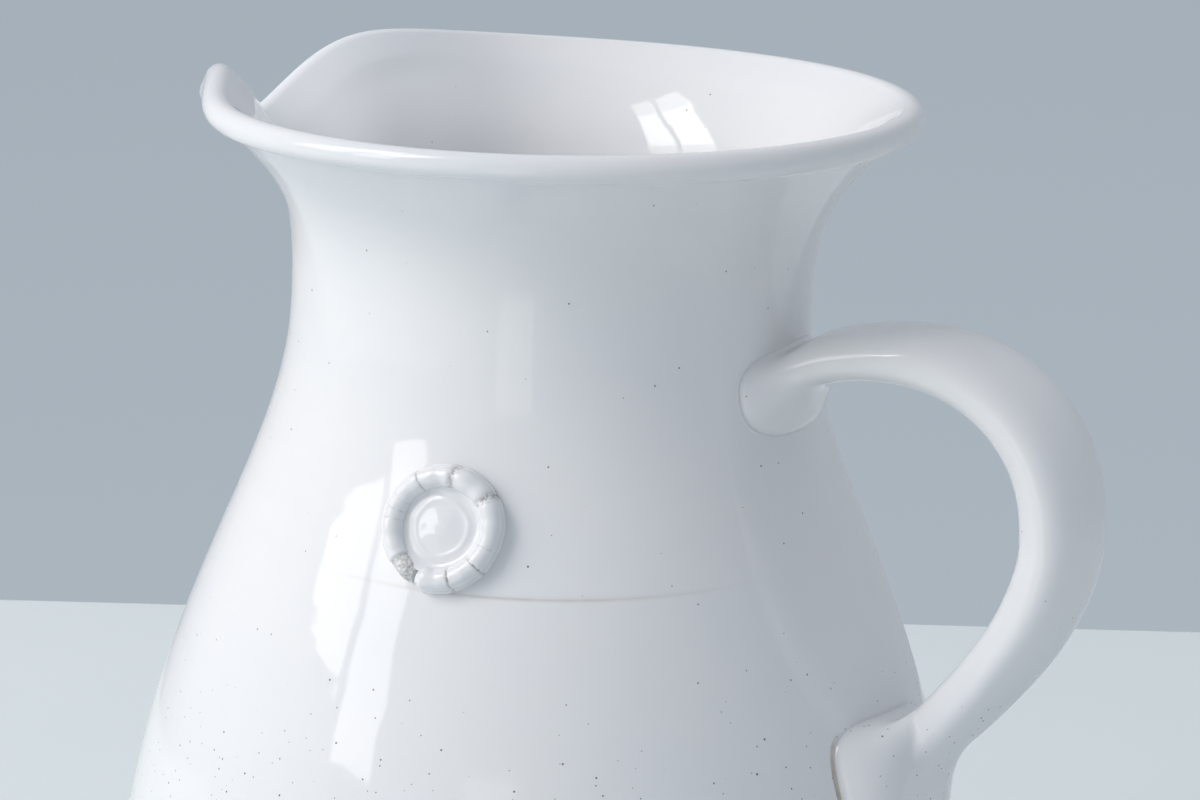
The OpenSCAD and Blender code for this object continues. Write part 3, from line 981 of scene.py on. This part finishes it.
def light_card(name, bearing, distance, width, bottom, top, glow, reflected, lights):
    data = bpy.data.lights.new(name, "AREA")
    data.shape = "RECTANGLE"
    data.size = width
    data.size_y = top - bottom
    data.energy = glow * width * (top - bottom) * math.pi
    data.color = LIGHT_TINT
    light = bpy.data.objects.new(name, data)
    turn = math.radians(VIEW_BEARING + bearing)
    back = Vector((math.sin(turn), -math.cos(turn), 0))
    light.location = back * distance + Vector((0, 0, (bottom + top) / 2))
    light.rotation_mode = "QUATERNION"
    light.rotation_quaternion = back.to_track_quat("Z", "Y")
    light.visible_camera = False
    light.visible_glossy = reflected
    light.visible_diffuse = lights
    bpy.context.scene.collection.objects.link(light)


def build_world():
    """A plain grey-blue room: what is seen behind the table, and a soft even light."""
    world = bpy.data.worlds.new("room")
    bpy.context.scene.world = world
    world.use_nodes = True
    tree = world.node_tree
    background = tree.nodes["Background"]
    place = tree.nodes.new("ShaderNodeTexCoord").outputs["Generated"]
    height = tree.nodes.new("ShaderNodeSeparateXYZ")
    tree.links.new(place, height.inputs[0])
    # The height, from -1 straight down to 1 straight up, becomes a place on a ramp from 0 to 1
    shifted = tree.nodes.new("ShaderNodeMath")
    shifted.operation = "MULTIPLY_ADD"
    shifted.inputs[1].default_value = 0.5
    shifted.inputs[2].default_value = 0.5
    ramp = tree.nodes.new("ShaderNodeValToRGB")
    ramp.color_ramp.elements[0].position = 0.30
    ramp.color_ramp.elements[0].color = LOW_WALL
    ramp.color_ramp.elements[1].position = 0.50
    ramp.color_ramp.elements[1].color = HIGH_WALL
    tree.links.new(height.outputs["Z"], shifted.inputs[0])
    tree.links.new(shifted.outputs[0], ramp.inputs[0])
    tree.links.new(ramp.outputs[0], background.inputs["Color"])
    # Only the camera sees the wall; everything else is lit by the even room
    room = tree.nodes.new("ShaderNodeBackground")
    room.inputs["Color"].default_value = ROOM_LIGHT
    seen = tree.nodes.new("ShaderNodeLightPath").outputs["Is Camera Ray"]
    either = tree.nodes.new("ShaderNodeMixShader")
    tree.links.new(seen, either.inputs[0])
    tree.links.new(room.outputs[0], either.inputs[1])
    tree.links.new(background.outputs[0], either.inputs[2])
    tree.links.new(either.outputs[0], tree.nodes["World Output"].inputs["Surface"])


def build_table():
    """A pale table top whose far edge lies behind the pitcher, square to the camera's view."""
    forward, right, _ = view_axes(VIEW_BEARING, 0)
    corners = []
    for z in (0.0, -TABLE_THICK):
        for along, side in ((TABLE_FAR, -1), (TABLE_FAR, 1), (-TABLE_NEAR, 1), (-TABLE_NEAR, -1)):
            corner = forward * along + right * TABLE_HALF_WIDTH * side + Vector((0, 0, z))
            corners.append(tuple(corner))
    mesh = bpy.data.meshes.new("table_top")
    faces = [(3, 2, 1, 0), (4, 5, 6, 7), (0, 1, 5, 4), (1, 2, 6, 5), (2, 3, 7, 6), (3, 0, 4, 7)]
    mesh.from_pydata(corners, [], faces)
    table = bpy.data.objects.new("table_top", mesh)
    bpy.context.scene.collection.objects.link(table)
    rounded = table.modifiers.new("rounded", "BEVEL")
    rounded.width = TABLE_ROUNDING
    rounded.segments = 5
    mesh.shade_smooth()
    nodes = Nodes("table_paint")
    grain = nodes.noise(nodes.place(), 6.0, Detail=3.0)
    nodes.put(nodes.shader.inputs["Base Color"], nodes.mix(grain, TABLE_COOL, TABLE_LIGHT))
    nodes.shader.inputs["Roughness"].default_value = TABLE_ROUGHNESS
    mesh.materials.append(nodes.material)


build_camera()
build_belly(glaze("belly_glaze", few_at=0.19, many_at=0.105, most=1.1, crease=True))
build_neck(glaze("neck_glaze", few_at=0.30, many_at=0.20, most=0.05, crease=True))
build_handle(glaze("handle_glaze", few_at=0.185, many_at=0.13, most=1.2, crease=True))
build_seal_disc(glaze("seal_disc_glaze", few_at=0.30, many_at=0.20, most=0.0))
build_seal_ring(glaze("seal_ring_glaze", few_at=0.30, many_at=0.20, most=0.0, cracks=True))
for card in LIGHT_CARDS:
    light_card(*card)
build_world()
build_table()
bpy.context.scene.view_settings.view_transform = "Standard"
